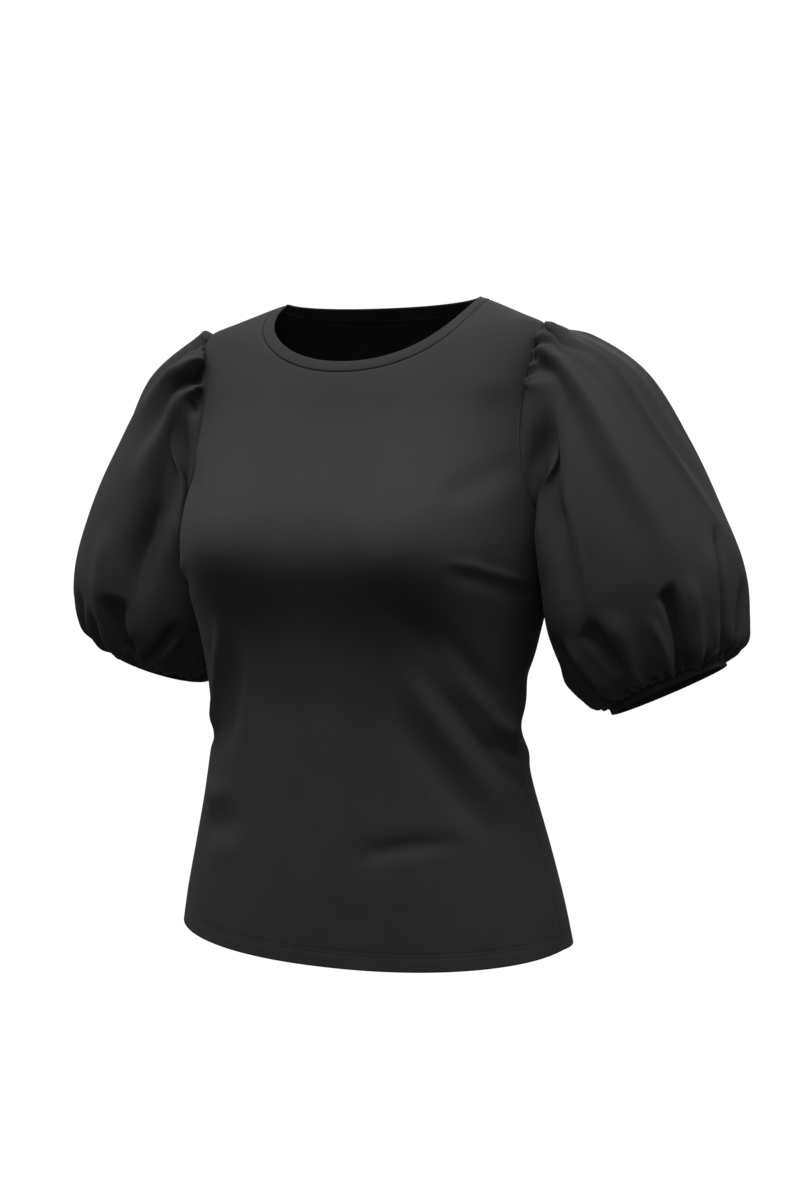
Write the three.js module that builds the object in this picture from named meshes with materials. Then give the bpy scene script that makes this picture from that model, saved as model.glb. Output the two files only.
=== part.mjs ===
// Puff sleeve t-shirt in its worn form, with nobody in it, in millimetres.
// +Z is up, the front faces -Y and +X is the garment's own left.
// The origin lies midway between the high shoulder points, level with the neck edge there.
//
// Everything is cloth. The body is one smooth form, cut into a front and a back panel along
// the side seams, shoulder seams, armholes and neck seam; the neckband carries the same form
// on to the neck edge; each sleeve is a row of rings blown out from its armhole and drawn in
// again to the small ring of its cuff.
import * as THREE from 'three';

// Cloth
const JERSEY_WALL = 1.6; // one layer, with the room that its folds take
const TURNED_WALL = 2.4; // two layers: hem, neckband and cuffs
const SEAM_GAP = 0.3; // left between two pieces sewn together
const HEM_TURN_UP = 15;
const HEM_STEP = 1.5; // height over which the hem thins to one layer
const JERSEY = { color: 0x2b2b2d, roughness: 0.82, metalness: 0 };
const FOLDED_JERSEY = { color: 0x262628, roughness: 0.85, metalness: 0 };

// Body form: one row for each level, from the neck down. front and back are how far the cloth
// reaches from the level's middle line, side is how far behind that line the widest point
// lies, and a power under 1 makes the section squarer than an ellipse.
const BODY_LEVELS = [
  { z: 8, halfWidth: 92, front: 3, back: 3, side: 11, power: 0.95 }, // inside the neck
  { z: 0, halfWidth: 100, front: 9, back: 9, side: 10, power: 0.95 }, // high shoulder point
  { z: -9, halfWidth: 122, front: 21, back: 23, side: 4, power: 0.95 },
  { z: -18, halfWidth: 144, front: 31, back: 35, side: -4, power: 0.93 },
  { z: -29, halfWidth: 169, front: 43, back: 49, side: -12, power: 0.9 }, // shoulder tip
  { z: -46, halfWidth: 175, front: 56, back: 63, side: -13, power: 0.87 },
  { z: -76, halfWidth: 175, front: 71, back: 79, side: -10, power: 0.84 },
  { z: -106, halfWidth: 175, front: 81, back: 89, side: -7, power: 0.82 },
  { z: -156, halfWidth: 177, front: 97, back: 97, side: -8, power: 0.8 },
  { z: -206, halfWidth: 178, front: 110, back: 93, side: -12, power: 0.8 }, // underarm
  { z: -256, halfWidth: 173, front: 115, back: 82, side: -17, power: 0.82 },
  { z: -306, halfWidth: 163, front: 115, back: 72, side: -22, power: 0.85 },
  { z: -356, halfWidth: 154, front: 115, back: 62, side: -26, power: 0.88 },
  { z: -396, halfWidth: 152, front: 116, back: 65, side: -26, power: 0.9 }, // waist
  { z: -446, halfWidth: 160, front: 118, back: 80, side: -22, power: 0.92 },
  { z: -496, halfWidth: 172, front: 121, back: 96, side: -17, power: 0.93 },
  { z: -546, halfWidth: 184, front: 124, back: 109, side: -14, power: 0.94 },
  { z: -600, halfWidth: 194, front: 127, back: 118, side: -10, power: 0.94 }, // below the hem
];

// Chest fullness, the same on both sides: a smooth swell that fades above, below and outward.
const CHEST = { z: -224, x: 97, swell: 46, above: 78, below: 62, outward: 70, bridge: 0.75 };

// Seams and edges. Angles on the body run from 0 at the side to 90 at the middle.
const ARMHOLE = { tip: -29, underarm: -202, frontAngle: 27, backAngle: 23 };
const NECK_SEAM = { side: -4, front: -70, back: -16.5 };
const NECK_EDGE = { side: 0, front: -60.5, back: -7 };
const NECK_ROUNDNESS = { front: 0.96, back: 0.9 };
const HEM = { side: -578, front: -593.5, back: -584, tilt: 2 }; // tilt: lower on the left side

// Sleeve rings from the armhole to the cuff seam. Each has its centre, the slope of its axis
// below the horizontal, the pitch that lifts its front above its back, and how far the cloth
// reaches outward, inward, forward and backward.
const SLEEVE_RINGS = [
  { x: 190, y: -4, z: -90, slope: 2, pitch: 0, out: 66, in: 118, front: 64, back: 88 },
  { x: 207, y: 2, z: -126, slope: 34, pitch: 0, out: 77, in: 112, front: 77, back: 92 },
  { x: 224, y: 10, z: -174, slope: 54, pitch: 0, out: 83, in: 99, front: 88, back: 96 },
  { x: 240, y: 17, z: -226, slope: 63, pitch: 1, out: 89, in: 90, front: 95, back: 99 },
  { x: 253, y: 24, z: -275, slope: 66, pitch: 2, out: 93, in: 92, front: 98, back: 98 },
  { x: 261, y: 29, z: -314, slope: 66, pitch: 3, out: 89, in: 88, front: 90, back: 88 },
  { x: 266, y: 31, z: -337, slope: 66, pitch: 3, out: 82, in: 76, front: 76, back: 72 },
];
const CUFF_RING = { x: 271, y: 31, z: -346, slope: 65, pitch: 3, out: 55, in: 58, front: 46, back: 46 };
const CUFF_DEPTH = 9;

// Broad folds let into each sleeve: the angle round the sleeve (0 at the top, 90 in front,
// 180 underneath), how wide and deep, and where they start and end along the sleeve.
const SLEEVE_FOLDS = [
  { angle: -38, width: 13, depth: 4, from: -0.02, to: 0.4 },
  { angle: -12, width: 11, depth: 5, from: -0.02, to: 0.34 },
  { angle: 14, width: 11, depth: 5, from: -0.02, to: 0.36 },
  { angle: 40, width: 13, depth: 5, from: -0.02, to: 0.46 },
  { angle: 72, width: 15, depth: 5, from: -0.02, to: 0.4 },
  { angle: 20, width: 12, depth: 6, from: 0.62, to: 1.02 },
  { angle: 58, width: 12, depth: 8, from: 0.66, to: 1.02 },
  { angle: 104, width: 14, depth: 8, from: 0.64, to: 1.02 },
  { angle: 150, width: 15, depth: 6, from: 0.7, to: 1.02 },
  { angle: 205, width: 15, depth: 7, from: 0.66, to: 1.02 },
  { angle: 250, width: 13, depth: 8, from: 0.62, to: 1.02 },
  { angle: 300, width: 14, depth: 7, from: 0.68, to: 1.02 },
];
const SLEEVE_CLEARANCE = 4; // kept between a sleeve and the side of the body
const SLEEVE_CLEARANCE_SOFTNESS = 7;
const SLEEVE_LIFT_OFF = 0.12; // share of the sleeve over which that clearance opens

// How the right sleeve hangs otherwise: its cuff end lies closer in, further back and lower,
// the puff sags inward most at a third of its length and droops on its outer side towards the
// cuff, and the cuff is tucked up inside it.
const RIGHT_SLEEVE = { inward: 2, back: 5, down: 5, sag: 11, droop: 15, cuffTuck: 20 };
const DROOP_START = 0.45; // shares of the sleeve's length
const TUCK_START = 0.8;

// Facets
const SHOULDER_COLUMNS = 4;
const NECK_COLUMNS = 7;
const PANEL_COLUMNS = SHOULDER_COLUMNS + NECK_COLUMNS; // in half a panel
const BODY_ROWS = 11;
const ARMHOLE_ROWS = 9;
const SLEEVE_COLUMNS = 4 * ARMHOLE_ROWS;
const SLEEVE_STATIONS = [0, 0.03, 0.08, 0.15, 0.24, 0.35, 0.47, 0.59, 0.7, 0.79, 0.865, 0.925, 0.965, 1];

const radians = THREE.MathUtils.degToRad;
const { clamp, lerp, smoothstep } = THREE.MathUtils;

// ---- Body form -------------------------------------------------------------------------

// Reads one column of a table at height z, along a curve through its rows that never
// overshoots them.
function levelValue(levels, column, z) {
  const last = levels.length - 2;
  const found = levels.findIndex((level, index) => index > 0 && level.z <= z) - 1;
  const i = found < 0 ? last : found;
  const chord = (k) => (levels[k + 1][column] - levels[k][column]) / (levels[k + 1].z - levels[k].z);
  const slopeAt = (k) => {
    if (k === 0) return chord(0);
    if (k === levels.length - 1) return chord(last);
    const before = chord(k - 1);
    const after = chord(k);
    if (before * after <= 0) return 0;
    const limit = 3 * Math.min(Math.abs(before), Math.abs(after));
    return clamp((before + after) / 2, -limit, limit);
  };
  const run = levels[i + 1].z - levels[i].z;
  const t = clamp((z - levels[i].z) / run, 0, 1);
  return (
    levels[i][column] * (1 + 2 * t) * (1 - t) ** 2 +
    slopeAt(i) * run * t * (1 - t) ** 2 +
    levels[i + 1][column] * t * t * (3 - 2 * t) +
    slopeAt(i + 1) * run * t * t * (t - 1)
  );
}

function bodyLevel(z) {
  const level = { z };
  for (const column of ['halfWidth', 'front', 'back', 'side', 'power']) {
    level[column] = levelValue(BODY_LEVELS, column, z);
  }
  return level;
}

function chestSwell(x, z) {
  const rise = z - CHEST.z;
  const upDown = Math.exp(-((rise / (rise > 0 ? CHEST.above : CHEST.below)) ** 2));
  const across = Math.abs(x) / CHEST.x;
  const inward = CHEST.bridge + (1 - CHEST.bridge) * Math.min(across, 1) ** 2;
  const outward = Math.exp(-(((Math.abs(x) - CHEST.x) / CHEST.outward) ** 2));
  return CHEST.swell * upDown * (across < 1 ? inward : outward);
}

// A point of the body: angle 0 is the +X side, 90 the front, 180 the -X side, 270 the back.
function bodyPoint(angle, z) {
  const level = bodyLevel(z);
  const across = Math.cos(radians(angle));
  const along = Math.sin(radians(angle));
  const depth = Math.abs(along) ** level.power;
  const x = level.halfWidth * Math.sign(across) * Math.abs(across) ** level.power;
  if (along <= 0) return new THREE.Vector3(x, level.side + (level.back - level.side) * depth, z);
  const swell = chestSwell(x, z) * Math.min(1, 1.9 * along) ** 1.5;
  return new THREE.Vector3(x, level.side - (level.front + level.side) * depth - swell, z);
}

function bodyNormal(angle, z) {
  const [turn, rise] = [0.4, 0.8];
  const around = bodyPoint(angle + turn, z).sub(bodyPoint(angle - turn, z));
  const upward = bodyPoint(angle, z + rise).sub(bodyPoint(angle, z - rise));
  return upward.cross(around).normalize();
}

// Half width of the body at depth y, found by halving the quarter turn that holds it.
function bodyHalfWidthAt(y, z) {
  const quarter = y < bodyPoint(0, z).y ? 90 : -90;
  let [near, far] = [0, quarter];
  for (let step = 0; step < 16; step++) {
    const middle = (near + far) / 2;
    const passed = (bodyPoint(middle, z).y - y) * quarter < 0;
    if (passed) far = middle;
    else near = middle;
  }
  return bodyPoint(near, z).x;
}

// ---- Seam lines, as angle and height on the body ----------------------------------------

// The angle at which the body stands x out from the middle, at height z.
function angleAcross(x, z) {
  const across = clamp(x / levelValue(BODY_LEVELS, 'halfWidth', z), 0, 1);
  return THREE.MathUtils.radToDeg(Math.acos(across ** (1 / levelValue(BODY_LEVELS, 'power', z))));
}

function armholeAngle(z, face) {
  const middle = (ARMHOLE.tip + ARMHOLE.underarm) / 2;
  const reach = clamp((z - middle) / (ARMHOLE.tip - middle), -1, 1);
  return ARMHOLE[`${face}Angle`] * Math.sqrt(1 - reach * reach);
}

// A neck line from its shoulder (share 0) to the middle of the front or back (share 1).
function neckLine(line, face, share) {
  const turn = (share * Math.PI) / 2;
  const z = lerp(line.side, line[face], Math.sin(turn));
  const x = levelValue(BODY_LEVELS, 'halfWidth', line.side) * Math.cos(turn) ** NECK_ROUNDNESS[face];
  return { x, z, angle: angleAcross(x, z) };
}

function hemHeight(angle, face) {
  const dip = Math.sin(radians(angle)) ** 1.3;
  return lerp(HEM.side, HEM[face], dip) - HEM.tilt * Math.cos(radians(angle));
}

// ---- Cloth ------------------------------------------------------------------------------

// Closes a grid of outer points and the matching grid of inner points into one thin solid.
// wrap joins the last column to the first, for a tube.
function clothGeometry(outer, inner, wrap) {
  const rows = outer.length;
  const columns = outer[0].length;
  const positions = [...outer.flat(), ...inner.flat()].flatMap((point) => point.toArray());
  const corner = (layer, row, column) => (layer * rows + row) * columns + (column % columns);
  const faces = [];
  const quad = (a, b, c, d) => faces.push(a, b, c, a, c, d);
  const lastColumn = wrap ? columns : columns - 1;
  for (let row = 0; row < rows - 1; row++) {
    for (let column = 0; column < lastColumn; column++) {
      for (const layer of [0, 1]) {
        const ring = [
          corner(layer, row, column),
          corner(layer, row, column + 1),
          corner(layer, row + 1, column + 1),
          corner(layer, row + 1, column),
        ];
        if (layer === 0) quad(...ring);
        else faces.push(ring[0], ring[2], ring[1], ring[0], ring[3], ring[2]);
      }
    }
  }
  const rim = (row1, column1, row2, column2) => {
    const [inner1, inner2] = [corner(1, row1, column1), corner(1, row2, column2)];
    quad(inner1, inner2, corner(0, row2, column2), corner(0, row1, column1));
  };
  for (let column = 0; column < lastColumn; column++) {
    rim(0, column, 0, column + 1);
    rim(rows - 1, column + 1, rows - 1, column);
  }
  for (let row = 0; row < rows - 1 && !wrap; row++) {
    rim(row + 1, 0, row, 0);
    rim(row, columns - 1, row + 1, columns - 1);
  }
  const geometry = new THREE.BufferGeometry();
  geometry.setAttribute('position', new THREE.Float32BufferAttribute(positions, 3));
  geometry.setIndex(enclosedVolume(positions, faces) < 0 ? faces.reverse() : faces);
  geometry.computeVertexNormals();
  return geometry;
}

function enclosedVolume(positions, faces) {
  const point = (index) => new THREE.Vector3().fromArray(positions, 3 * index);
  let volume = 0;
  for (let i = 0; i < faces.length; i += 3) {
    volume += point(faces[i]).dot(point(faces[i + 1]).cross(point(faces[i + 2]))) / 6;
  }
  return volume;
}

function clothMesh(name, geometry, finish) {
  const mesh = new THREE.Mesh(geometry, new THREE.MeshStandardMaterial(finish));
  mesh.name = name;
  return mesh;
}

// How far the points of a seam move as the cloth is drawn back from it: square to the seam,
// along the cloth, and towards the next line of points. closed says that the seam runs all
// the way round.
function seamShifts(seam, next, normals, closed = false) {
  const count = seam.length;
  const neighbour = (k) => (closed ? seam[(k + count) % count] : seam[clamp(k, 0, count - 1)]);
  return seam.map((point, k) => {
    const along = neighbour(k + 1).clone().sub(neighbour(k - 1));
    const away = normals[k].clone().cross(along).setLength(SEAM_GAP / 2);
    return away.dot(next[k].clone().sub(point)) < 0 ? away.negate() : away;
  });
}

function shifted(line, shifts) {
  return line.map((point, k) => point.clone().add(shifts[k]));
}

// Normals of a grid that wraps into a tube, all turned to the outside of the tube.
function tubeNormals(rings) {
  const columns = rings[0].length;
  let outwardness = 0;
  const normals = rings.map((ring, row) => {
    const before = rings[Math.max(row - 1, 0)];
    const after = rings[Math.min(row + 1, rings.length - 1)];
    const middle = ring.reduce((sum, point) => sum.add(point), new THREE.Vector3()).divideScalar(columns);
    return ring.map((point, k) => {
      const around = ring[(k + 1) % columns].clone().sub(ring[(k + columns - 1) % columns]);
      const normal = around.cross(after[k].clone().sub(before[k])).normalize();
      outwardness += normal.dot(point.clone().sub(middle));
      return normal;
    });
  });
  return normals.map((ring) => ring.map((normal) => normal.multiplyScalar(Math.sign(outwardness))));
}

function offsetGrid(grid, normals, distance) {
  return grid.map((line, row) =>
    line.map((point, k) => point.clone().addScaledVector(normals[row][k], distance)),
  );
}

// ---- Front and back panels --------------------------------------------------------------

// Rows of a panel below the underarm, from the hem up, each from the left side to the right,
// as { angle, z }.
function lowerRows(face) {
  const start = HEM_TURN_UP + HEM_STEP;
  const rises = [0, HEM_TURN_UP];
  const rowAt = (height) =>
    Array.from({ length: 2 * PANEL_COLUMNS + 1 }, (_, column) => {
      const angle = (90 * column) / PANEL_COLUMNS;
      return { angle, z: height(hemHeight(angle, face)) };
    });
  return [
    ...rises.map((rise) => rowAt((hem) => hem + rise)),
    ...Array.from({ length: BODY_ROWS }, (_, row) =>
      rowAt((hem) => lerp(hem + start, ARMHOLE.underarm, row / BODY_ROWS)),
    ),
  ];
}

// Rows of the left half of a panel from the underarm up to the shoulder seam and the neck
// seam. They are laid out in the front view: columns run straight from the underarm level to
// the top edge, and those near the armhole bend with it.
function upperRows(face) {
  const shoulderShare = SHOULDER_COLUMNS / PANEL_COLUMNS;
  const widthAt = (z) => levelValue(BODY_LEVELS, 'halfWidth', z);
  const bottomEdge = (share) => ({ x: bodyPoint(90 * share, ARMHOLE.underarm).x, z: ARMHOLE.underarm });
  const topEdge = (share) => {
    const alongNeck = (share - shoulderShare) / (1 - shoulderShare);
    if (alongNeck >= 0) return neckLine(NECK_SEAM, face, alongNeck);
    const z = lerp(ARMHOLE.tip, NECK_SEAM.side, share / shoulderShare);
    return { x: widthAt(z), z, angle: 0 };
  };
  return Array.from({ length: ARMHOLE_ROWS + 1 }, (_, row) => {
    const armholeRise = (1 - Math.cos((Math.PI * row) / ARMHOLE_ROWS)) / 2;
    const armholeZ = lerp(ARMHOLE.underarm, ARMHOLE.tip, armholeRise);
    const armholeX = bodyPoint(armholeAngle(armholeZ, face), armholeZ).x;
    const bend = armholeX - lerp(widthAt(ARMHOLE.underarm), widthAt(ARMHOLE.tip), armholeRise);
    return Array.from({ length: PANEL_COLUMNS + 1 }, (_, column) => {
      const share = column / PANEL_COLUMNS;
      if (row === ARMHOLE_ROWS) return topEdge(share);
      if (column === 0) return { angle: armholeAngle(armholeZ, face), z: armholeZ };
      const rise = lerp(armholeRise, row / ARMHOLE_ROWS, Math.min(1, share / shoulderShare));
      const z = lerp(ARMHOLE.underarm, topEdge(share).z, rise);
      const x = lerp(bottomEdge(share).x, topEdge(share).x, rise) + bend * (1 - share);
      return { angle: row === 0 ? 90 * share : angleAcross(x, z), z };
    });
  });
}

function panelGeometry(face) {
  const turn = face === 'front' ? 1 : -1;
  const rightHalf = (row) => row.slice(0, -1).reverse().map(({ angle, z }) => ({ angle: 180 - angle, z }));
  const wholeRows = [...lowerRows(face), ...upperRows(face).map((row) => [...row, ...rightHalf(row)])];
  const spots = wholeRows.map((row) => row.map(({ angle, z }) => ({ angle: turn * angle, z })));
  const normals = spots.map((row) => row.map((spot) => bodyNormal(spot.angle, spot.z)));
  const outer = spots.map((row) => row.map((spot) => bodyPoint(spot.angle, spot.z)));
  const top = outer.length - 1;
  const column = (grid, k) => grid.map((row) => row.at(k));
  const sideShifts = [[0, 1], [-1, -2]].map(([side, next]) => ({
    side,
    shifts: seamShifts(column(outer, side), column(outer, next), column(normals, side)),
  }));
  outer[top] = shifted(outer[top], seamShifts(outer[top], outer[top - 1], normals[top]));
  for (const { side, shifts } of sideShifts) {
    outer.forEach((row, k) => row.at(side).add(shifts[k]));
  }
  const inner = outer.map((row, k) => {
    const wall = k < 2 ? TURNED_WALL : JERSEY_WALL;
    return row.map((point, place) => point.clone().addScaledVector(normals[k][place], -wall));
  });
  return clothGeometry(outer, inner, false);
}

// ---- Neckband ---------------------------------------------------------------------------

// A folded strip of the same jersey, from the neck seam to the neck edge, all the way round.
function neckbandGeometry() {
  const quarters = [
    { face: 'front', mirrored: false, towardsMiddle: true },
    { face: 'front', mirrored: true, towardsMiddle: false },
    { face: 'back', mirrored: true, towardsMiddle: true },
    { face: 'back', mirrored: false, towardsMiddle: false },
  ];
  const around = (line) =>
    quarters.flatMap(({ face, mirrored, towardsMiddle }) =>
      Array.from({ length: NECK_COLUMNS }, (_, k) => {
        const share = towardsMiddle ? k / NECK_COLUMNS : 1 - k / NECK_COLUMNS;
        const spot = neckLine(line, face, share);
        const side = mirrored ? 180 - spot.angle : spot.angle;
        return { angle: face === 'front' ? side : -side, z: spot.z };
      }),
    );
  const spots = [around(NECK_SEAM), around(NECK_EDGE)];
  const normals = spots.map((ring) => ring.map((spot) => bodyNormal(spot.angle, spot.z)));
  const outer = spots.map((ring) => ring.map((spot) => bodyPoint(spot.angle, spot.z)));
  outer[0] = shifted(outer[0], seamShifts(outer[0], outer[1], normals[0], true));
  return clothGeometry(outer, offsetGrid(outer, normals, -TURNED_WALL), true);
}

// ---- Sleeves and cuffs, laid out on the left side and mirrored for the right --------------

// The armhole in the panels, as the sleeve meets it: just outside their surface, with a
// straight run between two of their points.
function armholeRing() {
  const corners = Array.from({ length: 2 * ARMHOLE_ROWS }, (_, k) => {
    const turn = (Math.PI * k) / ARMHOLE_ROWS;
    const z = lerp(ARMHOLE.underarm, ARMHOLE.tip, (1 + Math.cos(turn)) / 2);
    const face = Math.sin(turn) >= 0 ? 'front' : 'back';
    const angle = armholeAngle(z, face) * (face === 'front' ? 1 : -1);
    return bodyPoint(angle, z).addScaledVector(bodyNormal(angle, z), SEAM_GAP);
  });
  return corners.flatMap((point, k) => {
    const next = corners[(k + 1) % corners.length];
    return [point, point.clone().lerp(next, 0.5)];
  });
}

// The directions in which a ring reaches outward and forward.
function ringDirections(ring) {
  const [slope, pitch] = [radians(ring.slope), radians(ring.pitch)];
  return {
    outward: new THREE.Vector3(Math.sin(slope), 0, Math.cos(slope)),
    forward: new THREE.Vector3(0, -Math.cos(pitch), Math.sin(pitch)),
  };
}

function sleeveRing(ring) {
  const { outward, forward } = ringDirections(ring);
  return Array.from({ length: SLEEVE_COLUMNS }, (_, k) => {
    const turn = (2 * Math.PI * k) / SLEEVE_COLUMNS;
    const [out, ahead] = [Math.cos(turn), Math.sin(turn)];
    return new THREE.Vector3(ring.x, ring.y, ring.z)
      .addScaledVector(outward, out * (out > 0 ? ring.out : ring.in))
      .addScaledVector(forward, ahead * (ahead > 0 ? ring.front : ring.back));
  });
}

// Smooth surface through a list of rings, read at the given shares of its mean length.
function loftRings(rings, stations) {
  const meanStep = (k) => {
    const steps = rings[k].map((point, column) => point.distanceTo(rings[k + 1][column]));
    return steps.reduce((sum, step) => sum + step, 0) / steps.length;
  };
  const knots = [0];
  for (let k = 0; k < rings.length - 1; k++) knots.push(knots[k] + meanStep(k));
  const chord = (k, column) =>
    rings[k + 1][column].clone().sub(rings[k][column]).divideScalar(knots[k + 1] - knots[k]);
  const slopeAt = (k, column) => {
    if (k === rings.length - 1) return chord(k - 1, column);
    if (k === 0) return chord(0, column).multiplyScalar(1.5).addScaledVector(chord(1, column), -0.5);
    const [before, after] = [knots[k] - knots[k - 1], knots[k + 1] - knots[k]];
    return chord(k - 1, column).lerp(chord(k, column), before / (before + after));
  };
  return stations.map((station) => {
    const place = station * knots.at(-1);
    const i = Math.min(knots.findLastIndex((knot) => knot <= place), rings.length - 2);
    const run = knots[i + 1] - knots[i];
    const t = (place - knots[i]) / run;
    return rings[i].map((point, column) =>
      point
        .clone()
        .multiplyScalar((1 + 2 * t) * (1 - t) ** 2)
        .addScaledVector(slopeAt(i, column), run * t * (1 - t) ** 2)
        .addScaledVector(rings[i + 1][column], t * t * (3 - 2 * t))
        .addScaledVector(slopeAt(i + 1, column), run * t * t * (t - 1)),
    );
  });
}

// Depth of the folds at an angle round the sleeve and a share of its length.
function foldDepth(angle, station) {
  return SLEEVE_FOLDS.reduce((sum, fold) => {
    const t = (station - fold.from) / (fold.to - fold.from);
    if (t <= 0 || t >= 1) return sum;
    const away = ((angle - fold.angle + 540) % 360) - 180;
    return sum + fold.depth * Math.sin(Math.PI * t) * Math.exp(-((away / fold.width) ** 2));
  }, 0);
}

// Pushes a sleeve point outward until it clears the side of the body.
function clearOfBody(point, station) {
  const opening = Math.min(1, station / SLEEVE_LIFT_OFF);
  if (opening === 0) return point.clone();
  const wall = bodyHalfWidthAt(point.y, point.z) + SLEEVE_CLEARANCE * opening;
  const spare = point.x - wall;
  const x = wall + (spare + Math.hypot(spare, SLEEVE_CLEARANCE_SOFTNESS * opening)) / 2;
  return new THREE.Vector3(x, point.y, point.z);
}

// Direction of the cuff's axis, down the arm.
function cuffAxis() {
  const { outward, forward } = ringDirections(CUFF_RING);
  return outward.cross(forward).normalize();
}

// How far the right sleeve lies from the place of the left one, before it is mirrored, at a
// share of its length and a column round it.
function rightSettle(station, column) {
  const sag = RIGHT_SLEEVE.sag * (27 / 4) * station * (1 - station) ** 2; // full at a third
  const outerSide = (1 + Math.cos((2 * Math.PI * column) / SLEEVE_COLUMNS)) / 2;
  const droop = RIGHT_SLEEVE.droop * outerSide * smoothstep(station, DROOP_START, 1);
  const tuck = RIGHT_SLEEVE.cuffTuck * smoothstep(station, TUCK_START, 1);
  return new THREE.Vector3(-RIGHT_SLEEVE.inward, RIGHT_SLEEVE.back, -RIGHT_SLEEVE.down)
    .multiplyScalar(station)
    .add(new THREE.Vector3(-sag, 0, -droop))
    .addScaledVector(cuffAxis(), -tuck);
}

function leftSettle() {
  return new THREE.Vector3();
}

function sleeveRings(settle) {
  const rings = [armholeRing(), ...SLEEVE_RINGS.map(sleeveRing), sleeveRing(CUFF_RING)];
  const smooth = loftRings(rings, SLEEVE_STATIONS).map((ring, row) =>
    ring.map((point, column) => point.clone().add(settle(SLEEVE_STATIONS[row], column))),
  );
  const normals = tubeNormals(smooth);
  const folded = smooth.map((ring, row) =>
    ring.map((point, k) => {
      const depth = foldDepth((360 * k) / SLEEVE_COLUMNS, SLEEVE_STATIONS[row]);
      return clearOfBody(point.clone().addScaledVector(normals[row][k], -depth), SLEEVE_STATIONS[row]);
    }),
  );
  const last = folded.length - 1;
  const shifts = seamShifts(folded[last], folded[last - 1], tubeNormals(folded)[last], true);
  folded[last] = shifted(folded[last], shifts);
  return folded;
}

function cuffRings(settle) {
  const seam = sleeveRing(CUFF_RING).map((point, column) => point.add(settle(1, column)));
  const edge = seam.map((point) => point.clone().addScaledVector(cuffAxis(), CUFF_DEPTH));
  return [shifted(seam, seamShifts(seam, edge, tubeNormals([seam, edge])[0], true)), edge];
}

function mirrored(rings) {
  return rings.map((ring) => ring.map((point) => new THREE.Vector3(-point.x, point.y, point.z)));
}

function tubeGeometry(rings, wall) {
  return clothGeometry(rings, offsetGrid(rings, tubeNormals(rings), -wall), true);
}

// ---- The garment ------------------------------------------------------------------------

const shirt = new THREE.Group();
shirt.add(
  clothMesh('front_panel', panelGeometry('front'), JERSEY),
  clothMesh('back_panel', panelGeometry('back'), JERSEY),
  clothMesh('neckband', neckbandGeometry(), FOLDED_JERSEY),
  clothMesh('sleeve_left', tubeGeometry(sleeveRings(leftSettle), JERSEY_WALL), JERSEY),
  clothMesh('sleeve_right', tubeGeometry(mirrored(sleeveRings(rightSettle)), JERSEY_WALL), JERSEY),
  clothMesh('cuff_left', tubeGeometry(cuffRings(leftSettle), TURNED_WALL), FOLDED_JERSEY),
  clothMesh('cuff_right', tubeGeometry(mirrored(cuffRings(rightSettle)), TURNED_WALL), FOLDED_JERSEY),
);

export default shirt;
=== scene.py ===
import math

import bmesh
import bpy
import numpy as np
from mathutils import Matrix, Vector


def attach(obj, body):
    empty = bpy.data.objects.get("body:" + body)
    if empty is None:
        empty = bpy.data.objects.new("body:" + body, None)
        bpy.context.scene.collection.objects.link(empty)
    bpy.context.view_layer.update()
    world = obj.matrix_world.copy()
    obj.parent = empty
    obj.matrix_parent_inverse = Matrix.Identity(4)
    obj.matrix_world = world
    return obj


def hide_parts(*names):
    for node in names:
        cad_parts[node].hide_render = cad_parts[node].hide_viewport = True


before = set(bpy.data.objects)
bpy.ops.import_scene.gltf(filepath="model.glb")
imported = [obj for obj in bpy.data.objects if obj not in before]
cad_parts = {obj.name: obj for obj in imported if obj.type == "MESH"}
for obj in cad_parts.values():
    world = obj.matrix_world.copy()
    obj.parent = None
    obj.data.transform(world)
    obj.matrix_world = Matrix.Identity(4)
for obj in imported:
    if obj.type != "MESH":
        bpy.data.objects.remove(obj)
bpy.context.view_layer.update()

# ---- Studio ----------------------------------------------------------------------------
# A white bowl all round the shirt, which hangs in the air as it is worn. Five soft lights: the
# strongest above and in front, one at each side, a weak one low in front and one behind.

BOWL_RADIUS = 6.5
BOWL_FLOOR = -2.4
BOWL_BEND = 1.6  # radius of the curve between its floor and its wall
BOWL_HEIGHT = 6.5
BOWL_STEPS = 96  # all the way round
BOWL_GLOW = 1.05
AIR_GLOW = 0.11  # the even light from all sides

VIEW_AZIMUTH = 27.0  # degrees from the front towards the left side
VIEW_ELEVATION = 2.55
VIEW_DISTANCE = 2.15
VIEW_AIM = Vector((0.022, 0.0, -0.276))


def direction(azimuth, elevation):
    turn, rise = math.radians(azimuth), math.radians(elevation)
    return Vector((math.sin(turn) * math.cos(rise), -math.cos(turn) * math.cos(rise), math.sin(rise)))


def soft_light(name, azimuth, elevation, distance, size, power):
    lamp = bpy.data.lights.new(name, "AREA")
    lamp.shape = "RECTANGLE"
    lamp.size, lamp.size_y = size
    lamp.energy = power
    light = bpy.data.objects.new(name, lamp)
    towards = direction(azimuth, elevation)
    light.location = VIEW_AIM + towards * distance
    light.rotation_euler = towards.to_track_quat("Z", "Y").to_euler()
    light.visible_camera = False
    bpy.context.scene.collection.objects.link(light)
    return light


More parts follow.
